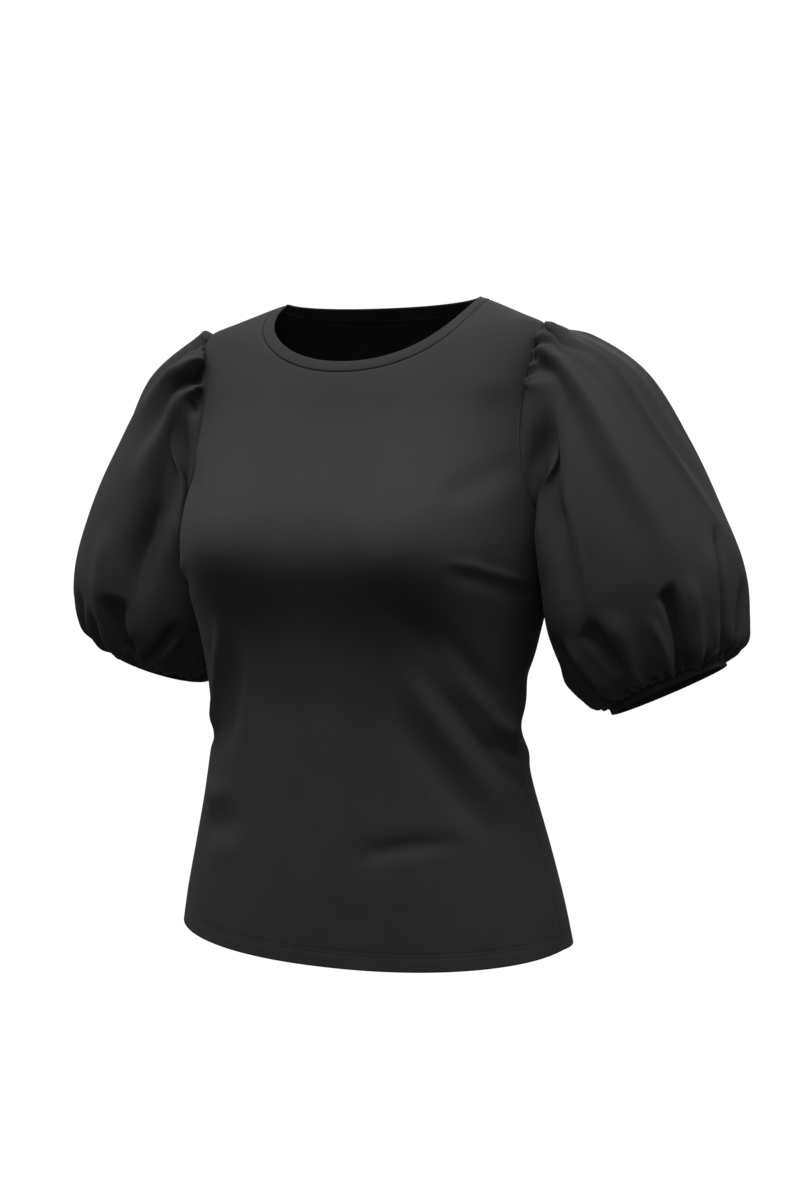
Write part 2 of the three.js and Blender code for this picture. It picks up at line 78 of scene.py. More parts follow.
bowl_turn = [math.radians(k * 7.5) for k in range(13)]
bowl_profile = [(0.0, BOWL_FLOOR)]
bowl_profile += [
    (BOWL_RADIUS - BOWL_BEND + BOWL_BEND * math.sin(turn), BOWL_FLOOR + BOWL_BEND * (1 - math.cos(turn)))
    for turn in bowl_turn
]
bowl_profile.append((BOWL_RADIUS, BOWL_FLOOR + BOWL_HEIGHT))
bm = bmesh.new()
profile_verts = [bm.verts.new((radius, 0.0, height)) for radius, height in bowl_profile]
profile_edges = [bm.edges.new(pair) for pair in zip(profile_verts, profile_verts[1:])]
bmesh.ops.spin(
    bm, geom=profile_verts + profile_edges, cent=(0, 0, 0), axis=(0, 0, 1), angle=math.tau, steps=BOWL_STEPS
)
bmesh.ops.remove_doubles(bm, verts=bm.verts, dist=1e-4)
bmesh.ops.recalc_face_normals(bm, faces=bm.faces)
bmesh.ops.reverse_faces(bm, faces=bm.faces)
bowl_mesh = bpy.data.meshes.new("studio_bowl")
bm.to_mesh(bowl_mesh)
bm.free()
bowl_mesh.shade_smooth()
bowl = bpy.data.objects.new("studio_bowl", bowl_mesh)
bpy.context.scene.collection.objects.link(bowl)
bowl_white = bpy.data.materials.new("studio_white")
bowl_white.use_nodes = True
bowl_white.node_tree.nodes.clear()
glow = bowl_white.node_tree.nodes.new("ShaderNodeEmission")
glow.inputs["Color"].default_value = (1.0, 1.0, 1.0, 1.0)
glow.inputs["Strength"].default_value = BOWL_GLOW
surface = bowl_white.node_tree.nodes.new("ShaderNodeOutputMaterial")
bowl_white.node_tree.links.new(glow.outputs["Emission"], surface.inputs["Surface"])
bowl_mesh.materials.append(bowl_white)
bowl.visible_diffuse = False
bowl.visible_glossy = False
bowl.visible_shadow = False

world = bpy.data.worlds.new("studio_air")
world.use_nodes = True
world.node_tree.nodes["Background"].inputs["Color"].default_value = (1.0, 1.0, 1.0, 1.0)
world.node_tree.nodes["Background"].inputs["Strength"].default_value = AIR_GLOW
bpy.context.scene.world = world

soft_light("key_light", azimuth=8, elevation=62, distance=2.4, size=(1.1, 1.1), power=36)
soft_light("right_light", azimuth=-75, elevation=42, distance=2.4, size=(1.3, 1.3), power=16)
soft_light("left_light", azimuth=88, elevation=46, distance=2.4, size=(1.3, 1.3), power=18)
soft_light("front_fill", azimuth=22, elevation=14, distance=2.6, size=(1.4, 1.4), power=3.5)
soft_light("back_light", azimuth=190, elevation=35, distance=2.6, size=(1.4, 1.4), power=12)

camera_data = bpy.data.cameras.new("camera")
camera_data.sensor_width = 36.0
camera_data.lens = 70.35
camera = bpy.data.objects.new("camera", camera_data)
towards_camera = direction(VIEW_AZIMUTH, VIEW_ELEVATION)
camera.location = VIEW_AIM + towards_camera * VIEW_DISTANCE
camera.rotation_euler = towards_camera.to_track_quat("Z", "Y").to_euler()
bpy.context.scene.collection.objects.link(camera)
bpy.context.scene.camera = camera
bpy.context.scene.view_settings.view_transform = "Standard"

# ---- Front panel -----------------------------------------------------------------------
# The front of the body, one piece of jersey from the hem to the neck seam, with the chest's
# fullness eased into it and no darts. Sewn to the back panel at the sides and shoulders, to
# the sleeves and to the neckband. Its hem is turned up inside and held by two needle rows.

JERSEY_THICKNESS = 0.8  # millimetres, as all the sizes below
SEAM_GAP = 0.3
SEAM_ALLOWANCE = 4.0  # cloth turned inside along a seam
TOP_ALLOWANCE = 2.4  # at the shoulder and neck seams
HEM_TURN_UP = 15.0
NEEDLE_ROWS = (12.2, 15.2)  # heights of the hem's two needle rows
STITCH = {"pitch": 3.0, "length": 2.5, "radius": 0.26, "sides": 5, "waist": 0.55, "proud": 0.1, "margin": 6}
UNDERARM_RISE = 390.0  # from the hem up to the underarm
SHOULDER_RISE = 175.0  # from the underarm up to the shoulder
HALF_PANEL = 260.0  # half a panel's width
EDGE_ROLL = 2.4  # from a seam to where the cloth lies flat again
PANEL_COLUMNS = 211
ROWS_BELOW_UNDERARM = 130
ROWS_ABOVE_UNDERARM = 64
CALM_TOP = 12  # how fast creases fade towards the top edge of a panel
CALM_SIDE = 30  # and towards its side edges
NEEDLE_GROOVE = {"depth": 0.3, "width": 0.8}
RIB_SPACING = 0.00075  # metres, between the knit's ribs
COURSE_SPACING = 0.00055  # metres, between its courses
WAVES_PER_UNIT = 20 / math.tau  # bands of a wave texture of scale 1
FOLD_RADIUS = 0.85  # of cloth folded flat on itself

# The body's form, in millimetres: one row for each level from the bottom up. front and back
# are the reach from the level's middle line, side is how far behind it the widest point lies,
# and a power under 1 makes the level squarer than an ellipse.
LEVEL_COLUMNS = ("z", "half_width", "front", "back", "side", "power")
BODY_LEVELS = [
    (-600, 194, 127, 118, -10, 0.94),
    (-546, 184, 124, 109, -14, 0.94),
    (-496, 172, 121, 96, -17, 0.93),
    (-446, 160, 118, 80, -22, 0.92),
    (-396, 152, 116, 65, -26, 0.90),
    (-356, 154, 115, 62, -26, 0.88),
    (-306, 163, 115, 72, -22, 0.85),
    (-256, 173, 115, 82, -17, 0.82),
    (-206, 178, 110, 93, -12, 0.80),
    (-156, 177, 97, 97, -8, 0.80),
    (-106, 175, 81, 89, -7, 0.82),
    (-76, 175, 71, 79, -10, 0.84),
    (-46, 175, 56, 63, -13, 0.87),
    (-29, 169, 43, 49, -12, 0.90),
    (-18, 144, 31, 35, -4, 0.93),
    (-9, 122, 21, 23, 4, 0.95),
    (0, 100, 9, 9, 10, 0.95),
    (8, 92, 3, 3, 11, 0.95),
]
# The chest's fullness: its highest spot, how far it swells, and how it dies away above, below,
# outward and towards the side seams. bridge is the share of it that is left in the middle.
CHEST = {"z": -224, "x": 97, "swell": 46, "bridge": 0.72}
CHEST |= {"above": 78, "below": 62, "outward": 70, "side": 0.6}
ARMHOLE = {"tip": -29, "underarm": -202, "front": 24, "back": 22}
NECK_SEAM = {"side": -4, "front": -70, "back": -16.5}
NECK_EDGE = {"side": 0, "front": -60.5, "back": -7}
NECK_ROUNDNESS = {"front": 0.96, "back": 0.9}
HEM = {"side": -578, "front": -593.5, "back": -584, "tilt": 4.5}
SHOULDER_SHARE = 4 / 11  # of half a panel's width, measured along its top edge


def mix(start, end, share):
    return start + (end - start) * share


def smooth_rise(low, high, value):
    share = np.clip((value - low) / (high - low), 0.0, 1.0)
    return share * share * (3 - 2 * share)


def level_value(column, z):
    """Reads one column of the body's levels at height z, on a curve that never overshoots."""
    table = np.array(BODY_LEVELS, float)
    knots, values = table[:, 0], table[:, LEVEL_COLUMNS.index(column)]
    steps = np.diff(knots)
    chords = np.diff(values) / steps
    limit = 3 * np.minimum(abs(chords[:-1]), abs(chords[1:]))
    middle = np.clip((chords[:-1] + chords[1:]) / 2, -limit, limit)
    middle[chords[:-1] * chords[1:] <= 0] = 0
    slopes = np.concatenate(([chords[0]], middle, [chords[-1]]))
    k = np.clip(np.searchsorted(knots, z, side="right") - 1, 0, len(steps) - 1)
    t = np.clip((z - knots[k]) / steps[k], 0, 1)
    return (
        values[k] * (1 + 2 * t) * (1 - t) ** 2
        + slopes[k] * steps[k] * t * (1 - t) ** 2
        + values[k + 1] * t * t * (3 - 2 * t)
        + slopes[k + 1] * steps[k] * t * t * (t - 1)
    )


def chest_swell(x, z):
    rise = z - CHEST["z"]
    up_down = np.exp(-((rise / np.where(rise > 0, CHEST["above"], CHEST["below"])) ** 2))
    across = abs(x) / CHEST["x"]
    inward = CHEST["bridge"] + (1 - CHEST["bridge"]) * smooth_rise(0, 1, across)
    outward = np.exp(-(((abs(x) - CHEST["x"]) / CHEST["outward"]) ** 2))
    return CHEST["swell"] * up_down * np.where(across < 1, inward, outward)


def body_point(angle, z):
    """A point of the body. Angle 0 is its left side, 90 the front, 180 the right, 270 the back."""
    angle, z = np.broadcast_arrays(np.radians(angle), np.asarray(z, float))
    across, along = np.cos(angle), np.sin(angle)
    power = level_value("power", z)
    side = level_value("side", z)
    depth = abs(along) ** power
    x = level_value("half_width", z) * np.sign(across) * abs(across) ** power
    swell = chest_swell(x, z) * smooth_rise(0, CHEST["side"], abs(along))
    front = side - (level_value("front", z) + side) * depth - swell
    back = side + (level_value("back", z) - side) * depth
    return np.stack([x, np.where(along > 0, front, back), z], axis=-1)


def unit(vectors):
    return vectors / np.maximum(np.linalg.norm(vectors, axis=-1, keepdims=True), 1e-12)


def body_normal(angle, z):
    around = body_point(angle + 0.4, z) - body_point(angle - 0.4, z)
    upward = body_point(angle, z + 0.8) - body_point(angle, z - 0.8)
    return unit(np.cross(upward, around))


def angle_across(x, z):
    """The angle, 0 to 90, at which the body stands x out from its middle at height z."""
    across = np.clip(x / level_value("half_width", z), 0, 1)
    return np.degrees(np.arccos(across ** (1 / level_value("power", z))))


def armhole_angle(z, face):
    middle = (ARMHOLE["tip"] + ARMHOLE["underarm"]) / 2
    reach = np.clip((z - middle) / (ARMHOLE["tip"] - middle), -1, 1)
    return ARMHOLE[face] * np.sqrt(1 - reach * reach)


def neck_line(line, face, share):
    """A neck line from its shoulder (share 0) to the middle of the front or back (share 1)."""
    turn = share * math.pi / 2
    z = mix(line["side"], line[face], np.sin(turn))
    x = level_value("half_width", line["side"]) * np.clip(np.cos(turn), 0, 1) ** NECK_ROUNDNESS[face]
    return x, z


def hem_height(angle, face):
    dip = np.clip(np.sin(np.radians(angle)), 0, 1) ** 1.3
    return mix(HEM["side"], HEM[face], dip) - HEM["tilt"] * np.cos(np.radians(angle))


def panel_spots(face, across, up):
    """Angle and height of a panel's spots: across from -1 (right side) to 1 (left side), up
    from 0 (hem) over 1 (underarm) to 2 (shoulder and neck seams)."""
    across, up = np.broadcast_arrays(across, up)
    share = np.clip(1 - abs(across), 0, 1)
    low_angle = 90 * share
    hem_angle = np.where(across < 0, 180 - low_angle, low_angle)
    low_z = mix(hem_height(hem_angle, face), ARMHOLE["underarm"], np.clip(up, 0, 1))

    rise = np.clip(up - 1, 0, 1)
    armhole_rise = (1 - np.cos(math.pi * rise)) / 2
    armhole_z = mix(ARMHOLE["underarm"], ARMHOLE["tip"], armhole_rise)
    armhole_x = body_point(armhole_angle(armhole_z, face), armhole_z)[..., 0]
    bottom_x = body_point(90 * share, ARMHOLE["underarm"])[..., 0]
    bottom_width, top_width = (level_value("half_width", ARMHOLE[end]) for end in ("underarm", "tip"))
    bend = armhole_x - mix(bottom_width, top_width, armhole_rise)
    shoulder_z = mix(ARMHOLE["tip"], NECK_SEAM["side"], np.clip(share / SHOULDER_SHARE, 0, 1))
    neck_x, neck_z = neck_line(
        NECK_SEAM, face, np.clip((share - SHOULDER_SHARE) / (1 - SHOULDER_SHARE), 0, 1)
    )
    at_neck = share >= SHOULDER_SHARE
    top_x = np.where(at_neck, neck_x, level_value("half_width", shoulder_z))
    top_z = np.where(at_neck, neck_z, shoulder_z)
    risen = mix(armhole_rise, rise, np.minimum(1, share / SHOULDER_SHARE))
    high_z = mix(ARMHOLE["underarm"], top_z, risen)
    high_x = mix(bottom_x, top_x, risen) + bend * (1 - share)
    high_angle = angle_across(high_x, high_z)
    high_angle = np.where(share <= 0, armhole_angle(armhole_z, face), high_angle)

    angle = np.where(up < 1, low_angle, high_angle)
    z = np.where(up < 1, low_z, high_z)
    angle = np.where(across < 0, 180 - angle, angle)
    return (angle if face == "front" else -angle), z


def crease_relief(points, rows, place):
    """Height of the creases at a sheet's points. Each row is one soft ridge or, with a height
    under 0, one trough, that runs from start past by to end, spots that place() finds on the
    sheet. It is width millimetres to either side at its start and widens grow times by its
    end; lean makes its left side steeper, or its right one; head and tail are the shares of
    its length over which it rises and dies away."""
    relief = np.zeros(points.shape[:-1])
    for row in rows:
        start, by, end, width, height = row[:5]
        options = dict(zip(("grow", "lean", "head", "tail", "crisp"), (1.0, 0.0, 0.35, 0.45, 2.0)))
        options.update(row[5] if len(row) > 5 else {})
        t = np.linspace(0, 1, 13)[:, None]
        spots = np.array(start) * (1 - t) * (1 - 2 * t) + np.array(by) * 4 * t * (1 - t)
        spots = spots + np.array(end) * t * (2 * t - 1)
        path, normals = place(spots[:, 0], spots[:, 1])
        reach = width * max(1.0, options["grow"]) * 3.2
        near = ((points > path.min(0) - reach) & (points < path.max(0) + reach)).all(-1)
        if not near.any():
            continue
        spot = points[near][:, None, :]
        run = path[1:] - path[:-1]
        length2 = np.maximum((run**2).sum(-1), 1e-9)
        along = np.clip(((spot - path[:-1]) * run).sum(-1) / length2, 0, 1)
        away = spot - (path[:-1] + along[..., None] * run)
        distance = np.sqrt((away**2).sum(-1))
        nearest = distance.argmin(-1)
        pick = np.arange(len(nearest)), nearest
        share = (nearest + along[pick]) / (len(path) - 1)
        leftward = np.cross(normals[:-1], run)[nearest]
        side = np.sign((away[pick] * leftward).sum(-1))
        breadth = width * mix(1.0, options["grow"], share) * (1 - options["lean"] * side)
        profile = np.exp(-((distance[pick] / breadth) ** options["crisp"]))
        fade = smooth_rise(0, options["head"], share) * (1 - smooth_rise(1 - options["tail"], 1, share))
        relief[near] += height * profile * fade
    return relief


def turned_edge(allowance=SEAM_ALLOWANCE):
    """Offsets of the cloth at a seam: rounded over and turned inside. Each row is the distance
    back from the seam and the depth under the cloth, from the sheet's own edge outward."""
    return [(0.0, -allowance), (0.0, -allowance / 2), (0.0, -1.1), (0.35, -0.35), (1.1, -0.05)]


def folded_edge(depth):
    """Rows of a folded edge, from the raw edge inside to the outside: the distance from the
    fold and the depth under the cloth."""
    inside = [(distance, -2 * FOLD_RADIUS) for distance in (depth, depth * 0.66, depth * 0.33)]
    turns = np.radians(np.linspace(180, 0, 7))
    fold = [(FOLD_RADIUS * (1 - math.sin(turn)), FOLD_RADIUS * (math.cos(turn) - 1)) for turn in turns]
    return inside + fold


def lay_cloth(name, points, closed, material, outward):
    """Makes one sheet of jersey: a grid bent onto its form, with the flat cloth's own layout
    as its UV, faces outward, one cloth thick."""
    points = points * 0.001
    rows, columns = points.shape[:2]
    bm = bmesh.new()
    bmesh.ops.create_grid(bm, x_segments=columns - 1, y_segments=rows - 1, size=1)
    assert len(bm.verts) == rows * columns, name
    for vert, point in zip(bm.verts, points.reshape(-1, 3)):
        vert.co = point
    across = np.linalg.norm(np.diff(points, axis=1), axis=-1).cumsum(axis=1)
    across = np.concatenate((np.zeros((rows, 1)), across), axis=1)
    across -= across[:, -1:] / 2
    down = np.linalg.norm(np.diff(points, axis=0), axis=-1).cumsum(axis=0)
    down = np.concatenate((np.zeros((1, columns)), down), axis=0)
    layout = np.stack([across, down], axis=-1).reshape(-1, 2)
    uv = bm.loops.layers.uv.new("cloth")
    bm.verts.index_update()
    for face in bm.faces:
        for loop in face.loops:
            loop[uv].uv = layout[loop.vert.index]
    if closed:
        bmesh.ops.remove_doubles(bm, verts=bm.verts, dist=1e-6)
    bmesh.ops.recalc_face_normals(bm, faces=bm.faces)
    bm.faces.ensure_lookup_table()
    facing = sum(face.normal.dot(outward(face.calc_center_median())) for face in list(bm.faces)[::97])
    if facing < 0:
        bmesh.ops.reverse_faces(bm, faces=bm.faces)
    mesh = bpy.data.meshes.new(name)
    bm.to_mesh(mesh)
    bm.free()
    mesh.shade_smooth()
    mesh.materials.append(material)
    sheet = bpy.data.objects.new(name, mesh)
    bpy.context.scene.collection.objects.link(sheet)
    thickness = sheet.modifiers.new("cloth thickness", "SOLIDIFY")
    thickness.thickness = JERSEY_THICKNESS * 0.001
    thickness.offset = -1.0
    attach(sheet, "root")
    return sheet


def jersey_material(name, shade):
    """Matte dark jersey: fine knitted ribs along the cloth, worn a little unevenly."""
    material = bpy.data.materials.new(name)
    material.use_nodes = True
    tree = material.node_tree
    shader = tree.nodes["Principled BSDF"]
    shader.inputs["Roughness"].default_value = 0.78
    shader.inputs["IOR"].default_value = 1.4
    shader.inputs["Specular IOR Level"].default_value = 0.28
    shader.inputs["Sheen Weight"].default_value = 0.04
    shader.inputs["Sheen Roughness"].default_value = 0.55
    shader.inputs["Sheen Tint"].default_value = (0.8, 0.8, 0.82, 1.0)

    place = tree.nodes.new("ShaderNodeTexCoord")
    patches = tree.nodes.new("ShaderNodeTexNoise")
    patches.inputs["Scale"].default_value = 22.0
    patches.inputs["Detail"].default_value = 3.0
    tint = tree.nodes.new("ShaderNodeValToRGB")
    tint.color_ramp.elements[0].position = 0.3
    tint.color_ramp.elements[1].position = 0.7
    tint.color_ramp.elements[0].color = (*[value * 0.93 for value in shade], 1.0)
    tint.color_ramp.elements[1].color = (*[value * 1.07 for value in shade], 1.0)
    tree.links.new(place.outputs["Object"], patches.inputs["Vector"])
    tree.links.new(patches.outputs["Fac"], tint.inputs["Fac"])
    tree.links.new(tint.outputs["Color"], shader.inputs["Base Color"])

    ribs = tree.nodes.new("ShaderNodeTexWave")
    ribs.wave_type = "BANDS"
    ribs.bands_direction = "X"
    ribs.inputs["Scale"].default_value = 1 / RIB_SPACING / WAVES_PER_UNIT
    ribs.inputs["Distortion"].default_value = 0.4
    ribs.inputs["Detail"].default_value = 1.0
    courses = tree.nodes.new("ShaderNodeTexWave")
    courses.wave_type = "BANDS"
    courses.bands_direction = "Y"
    courses.inputs["Scale"].default_value = 1 / COURSE_SPACING / WAVES_PER_UNIT
    courses.inputs["Distortion"].default_value = 0.4
    loops = tree.nodes.new("ShaderNodeMath")
    loops.operation = "MULTIPLY"
    knit = tree.nodes.new("ShaderNodeBump")
    knit.inputs["Strength"].default_value = 0.35
    knit.inputs["Distance"].default_value = 0.00012
    tree.links.new(place.outputs["UV"], ribs.inputs["Vector"])
    tree.links.new(place.outputs["UV"], courses.inputs["Vector"])
    tree.links.new(ribs.outputs["Fac"], loops.inputs[0])
    tree.links.new(courses.outputs["Fac"], loops.inputs[1])
    tree.links.new(loops.outputs["Value"], knit.inputs["Height"])
    tree.links.new(knit.outputs["Normal"], shader.inputs["Normal"])
    return material


def thread_material(name, shade):
    """Twisted sewing thread, a touch smoother than the jersey."""
    material = bpy.data.materials.new(name)
    material.use_nodes = True
    tree = material.node_tree
    shader = tree.nodes["Principled BSDF"]
    shader.inputs["Roughness"].default_value = 0.6
    shader.inputs["Specular IOR Level"].default_value = 0.35
    place = tree.nodes.new("ShaderNodeTexCoord")
    twist = tree.nodes.new("ShaderNodeTexNoise")
    twist.inputs["Scale"].default_value = 900.0
    tint = tree.nodes.new("ShaderNodeValToRGB")
    tint.color_ramp.elements[0].color = (*[value * 0.8 for value in shade], 1.0)
    tint.color_ramp.elements[1].color = (*[value * 1.2 for value in shade], 1.0)
    tree.links.new(place.outputs["Object"], twist.inputs["Vector"])
    tree.links.new(twist.outputs["Fac"], tint.inputs["Fac"])
    tree.links.new(tint.outputs["Color"], shader.inputs["Base Color"])
    return material


def panel_place(face):
    """Finds spots given as millimetres left of the middle and height, on one face."""

    def place(x, z):
        angle = angle_across(abs(x), z)
        angle = np.where(x < 0, 180 - angle, angle)
        angle = angle if face == "front" else -angle
        return body_point(angle, z), body_normal(angle, z)

    return place


def outward_from_body(point):
    return Vector((point.x, point.y + 0.01, 0.0))


def panel_across():
    """Columns of a panel with those along both side edges turned inside."""
    edge = [(1 - distance / HALF_PANEL, depth) for distance, depth in turned_edge()]
    inner = np.linspace(1 - EDGE_ROLL / HALF_PANEL, 0, PANEL_COLUMNS // 2)
    half = [*edge, *((share, 0.0) for share in inner)]
    return half + [(-share, depth) for share, depth in half[-2::-1]]


def panel_up():
    """Rows of a panel: its hem folded up inside, the needle rows, the cloth up to the underarm
    and on to the shoulders, and its top edge turned inside."""
    hem = folded_edge(HEM_TURN_UP)
    low, high = NEEDLE_ROWS
    rises = [2.0, 4.5, 7.0, 9.5, 11.0, 11.7, low, 12.7, 13.7, 14.7, high, 15.7, 16.7, 18.5]
    rises += list(np.linspace(21, UNDERARM_RISE, ROWS_BELOW_UNDERARM)[:-1])
    rows = [(rise / UNDERARM_RISE, depth) for rise, depth in hem]
    rows += [(rise / UNDERARM_RISE, 0.0) for rise in rises]
    flat_top = 1 - EDGE_ROLL / SHOULDER_RISE
    rows += [(1 + share, 0.0) for share in np.linspace(0, flat_top, ROWS_ABOVE_UNDERARM)]
    top_edge = turned_edge(TOP_ALLOWANCE)[::-1]
    return rows + [(2 - distance / SHOULDER_RISE, depth) for distance, depth in top_edge]


def panel_points(face, creases):
    across = np.array(panel_across())
    up = np.array(panel_up())
    angle, z = panel_spots(face, across[None, :, 0], up[:, None, 0])
    base, normals = body_point(angle, z), body_normal(angle, z)
    relief = crease_relief(base, creases, panel_place(face))
    relief = relief * np.clip((2 - up[:, None, 0]) * CALM_TOP, 0, 1)
    relief = relief * np.clip((1 - abs(across[None, :, 0])) * CALM_SIDE, 0, 1)
    depth = np.minimum(across[None, :, 1], up[:, None, 1])
    rise = up[:, None, 0] * UNDERARM_RISE
    dips = [np.exp(-(((rise - needle) / NEEDLE_GROOVE["width"]) ** 2)) for needle in NEEDLE_ROWS]
    needle_rows = NEEDLE_GROOVE["depth"] * sum(dips)
    outside = np.where(depth > -0.01, 1.0, 0.0)
    return base + normals * (relief + depth - needle_rows * outside)[..., None]


def hem_stitches(name, points, material):
    """Short threads in a panel's two needle rows, one small faceted bead each."""
    heights = [rise * UNDERARM_RISE for rise, depth in panel_up() if depth == 0.0]
    first = len(panel_up()) - len(turned_edge()) - len(heights)
    verts, faces = [], []
    for needle in NEEDLE_ROWS:
        row = first + int(np.argmin([abs(height - needle) for height in heights]))
        path = points[row]
        upward = points[row + 1] - points[row - 1]
        run = np.concatenate(([0], np.linalg.norm(np.diff(path, axis=0), axis=-1).cumsum()))
        spots = np.arange(run[0] + STITCH["margin"], run[-1] - STITCH["margin"], STITCH["pitch"])
        centres = np.stack([np.interp(spots, run, path[:, k]) for k in range(3)], axis=-1)
        rises = unit(np.stack([np.interp(spots, run, upward[:, k]) for k in range(3)], axis=-1))
        along = unit(np.gradient(centres, axis=0))
        outs = unit(np.cross(along, rises))
        outs *= np.sign((outs * centres)[:, 1:2].sum())
        for centre, ahead, rise, out in zip(centres, along, rises, outs):
            start = len(verts)
            half = STITCH["length"] / 2
            verts.append(centre - ahead * half)
            for place in (-STITCH["waist"], STITCH["waist"]):
                for k in range(STITCH["sides"]):
                    turn = math.tau * k / STITCH["sides"]
                    ring = rise * math.cos(turn) + out * math.sin(turn)
                    rim = ring * STITCH["radius"] + out * STITCH["proud"]
                    verts.append(centre + ahead * half * place + rim)
            verts.append(centre + ahead * half)
            for k in range(STITCH["sides"]):
                near, far = start + 1 + k, start + 1 + (k + 1) % STITCH["sides"]
                beyond = near + STITCH["sides"], far + STITCH["sides"]
                faces.append((start, far, near))
                faces.append((near, far, beyond[1], beyond[0]))
                faces.append((beyond[0], beyond[1], start + 1 + 2 * STITCH["sides"]))
    mesh = bpy.data.meshes.new(name)
    mesh.from_pydata([tuple(vert * 0.001) for vert in np.array(verts)], [], faces)
    bm = bmesh.new()
    bm.from_mesh(mesh)
    bmesh.ops.recalc_face_normals(bm, faces=bm.faces)
    bm.to_mesh(mesh)
    bm.free()
    mesh.shade_smooth()
    mesh.materials.append(material)
    stitches = bpy.data.objects.new(name, mesh)
    bpy.context.scene.collection.objects.link(stitches)
    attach(stitches, "root")
    return stitches


# start (x, z), by, end, width, height, and what sets it apart
FRONT_CREASES = [
    ((124, -236), (148, -241), (172, -257), 4.5, 2.4, {"lean": 0.3, "head": 0.5, "tail": 0.2}),
    ((124, -246), (148, -252), (172, -268), 7, -3.0, {"head": 0.5, "tail": 0.2}),
    ((118, -186), (143, -168), (172, -146), 13, -3.5, {"tail": 0.25}),
    ((140, -80), (147, -125), (152, -176), 20, -4.0, {}),
    ((92, -276), (128, -338), (156, -408), 10, 5.0, {"grow": 0.75, "tail": 0.25}),
    ((62, -258), (110, -306), (158, -372), 15, -6.5, {"grow": 0.7, "tail": 0.3}),
    ((64, -306), (118, -392), (168, -480), 12, 5.0, {"grow": 0.8}),
    ((96, -330), (134, -392), (166, -452), 9, -5.0, {"grow": 0.8}),
    ((62, -346), (114, -428), (162, -492), 14, -5.2, {"grow": 0.8}),
    ((30, -500), (84, -485), (146, -482), 9, -3.6, {"grow": 0.9}),
    ((-98, -280), (-116, -350), (-130, -418), 8, 8.0, {"grow": 0.8, "tail": 0.3}),
    ((-84, -300), (-98, -372), (-114, -424), 12, -4.6, {}),
    ((-146, -446), (-118, -452), (-84, -436), 12, 3.4, {}),
    ((-142, -476), (-112, -480), (-70, -462), 13, -3.0, {}),
    ((-136, -504), (-104, -504), (-70, -492), 13, 1.8, {}),
    ((-150, -404), (-134, -398), (-112, -384), 8, -3.0, {"head": 0.1}),
    ((170, -410), (154, -404), (136, -392), 8, -3.0, {"head": 0.1}),
    ((168, -388), (154, -386), (138, -376), 9, 2.2, {"head": 0.1}),
    ((-172, -262), (-150, -246), (-122, -238), 6, 2.0, {"head": 0.2, "tail": 0.5}),
    ((-172, -276), (-148, -258), (-122, -250), 8, -2.6, {"head": 0.2, "tail": 0.5}),
    ((-172, -150), (-146, -168), (-118, -184), 12, -3.0, {"head": 0.2}),
]
jersey = jersey_material("black_jersey", (0.0355, 0.035, 0.0348))
front_points = panel_points("front", FRONT_CREASES)
front_panel = lay_cloth("front_cloth", front_points, False, jersey, outward_from_body)
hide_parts("front_panel")
thread = thread_material("black_thread", (0.045, 0.045, 0.045))
front_stitches = hem_stitches("front_hem_stitches", front_points, thread)

# ---- Back panel ------------------------------------------------------------------------
# The back of the body, one piece of the same jersey with the same hem.

BACK_CREASES = [
    ((166, -372), (110, -404), (40, -418), 12, -6.5, {"grow": 1.3}),
    ((164, -396), (104, -428), (30, -438), 10, 5.0, {"grow": 1.3}),
    ((160, -432), (110, -452), (58, -456), 14, -3.0, {}),
    ((-166, -384), (-104, -398), (-30, -400), 13, -5.5, {"grow": 1.2}),
    ((-164, -410), (-96, -420), (-34, -424), 10, 4.4, {"grow": 1.4}),
    ((-166, -440), (-120, -470), (-62, -480), 15, -3.2, {}),
    ((168, -330), (126, -352), (70, -366), 12, -2.8, {}),
    ((-168, -322), (-120, -350), (-66, -360), 12, 2.6, {}),
    ((150, -150), (128, -196), (116, -250), 16, -3.2, {}),
    ((-150, -140), (-132, -190), (-112, -262), 15, -3.6, {}),
    ((60, -470), (84, -520), (92, -575), 18, 2.8, {"tail": 0.1}),
    ((-40, -480), (-66, -530), (-78, -575), 20, 2.6, {"tail": 0.1}),
]
back_points = panel_points("back", BACK_CREASES)
back_panel = lay_cloth("back_cloth", back_points, False, jersey, outward_from_body)
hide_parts("back_panel")
back_stitches = hem_stitches("back_hem_stitches", back_points, thread)

# ---- Neckband --------------------------------------------------------------------------
# A narrow strip of the jersey, folded lengthwise, its two raw edges sewn into the neck seam.

BAND_COLUMNS = 64  # in each quarter of the neck
BAND_EASING_PASSES = 36
BAND_PUFF = 0.45  # how far the folded strip stands up in its middle


def neck_ring(line):
    """Angle and height of a neck line all the way round, from the left shoulder forward."""
    share = np.linspace(0, 1, BAND_COLUMNS + 1)
    angles, heights = [], []
    for face, right, towards_middle in (
        ("front", False, True),
        ("front", True, False),
        ("back", True, True),
        ("back", False, False),
    ):
        x, z = neck_line(line, face, share if towards_middle else share[::-1])
        angle = angle_across(x, z)
        angle = 180 - angle if right else angle
        angles.append((angle if face == "front" else -angle)[:-1])
        heights.append(z[:-1])
    angle, z = np.concatenate(angles), np.concatenate(heights)
    return np.append(angle, angle[0]), np.append(z, z[0])


def rounded(ring):
    """A closed ring of points with its corners at the shoulders eased."""
    ring = ring[:-1]
    for _ in range(BAND_EASING_PASSES):
        ring = (np.roll(ring, 1, axis=0) + 2 * ring + np.roll(ring, -1, axis=0)) / 4
    return np.concatenate([ring, ring[:1]])


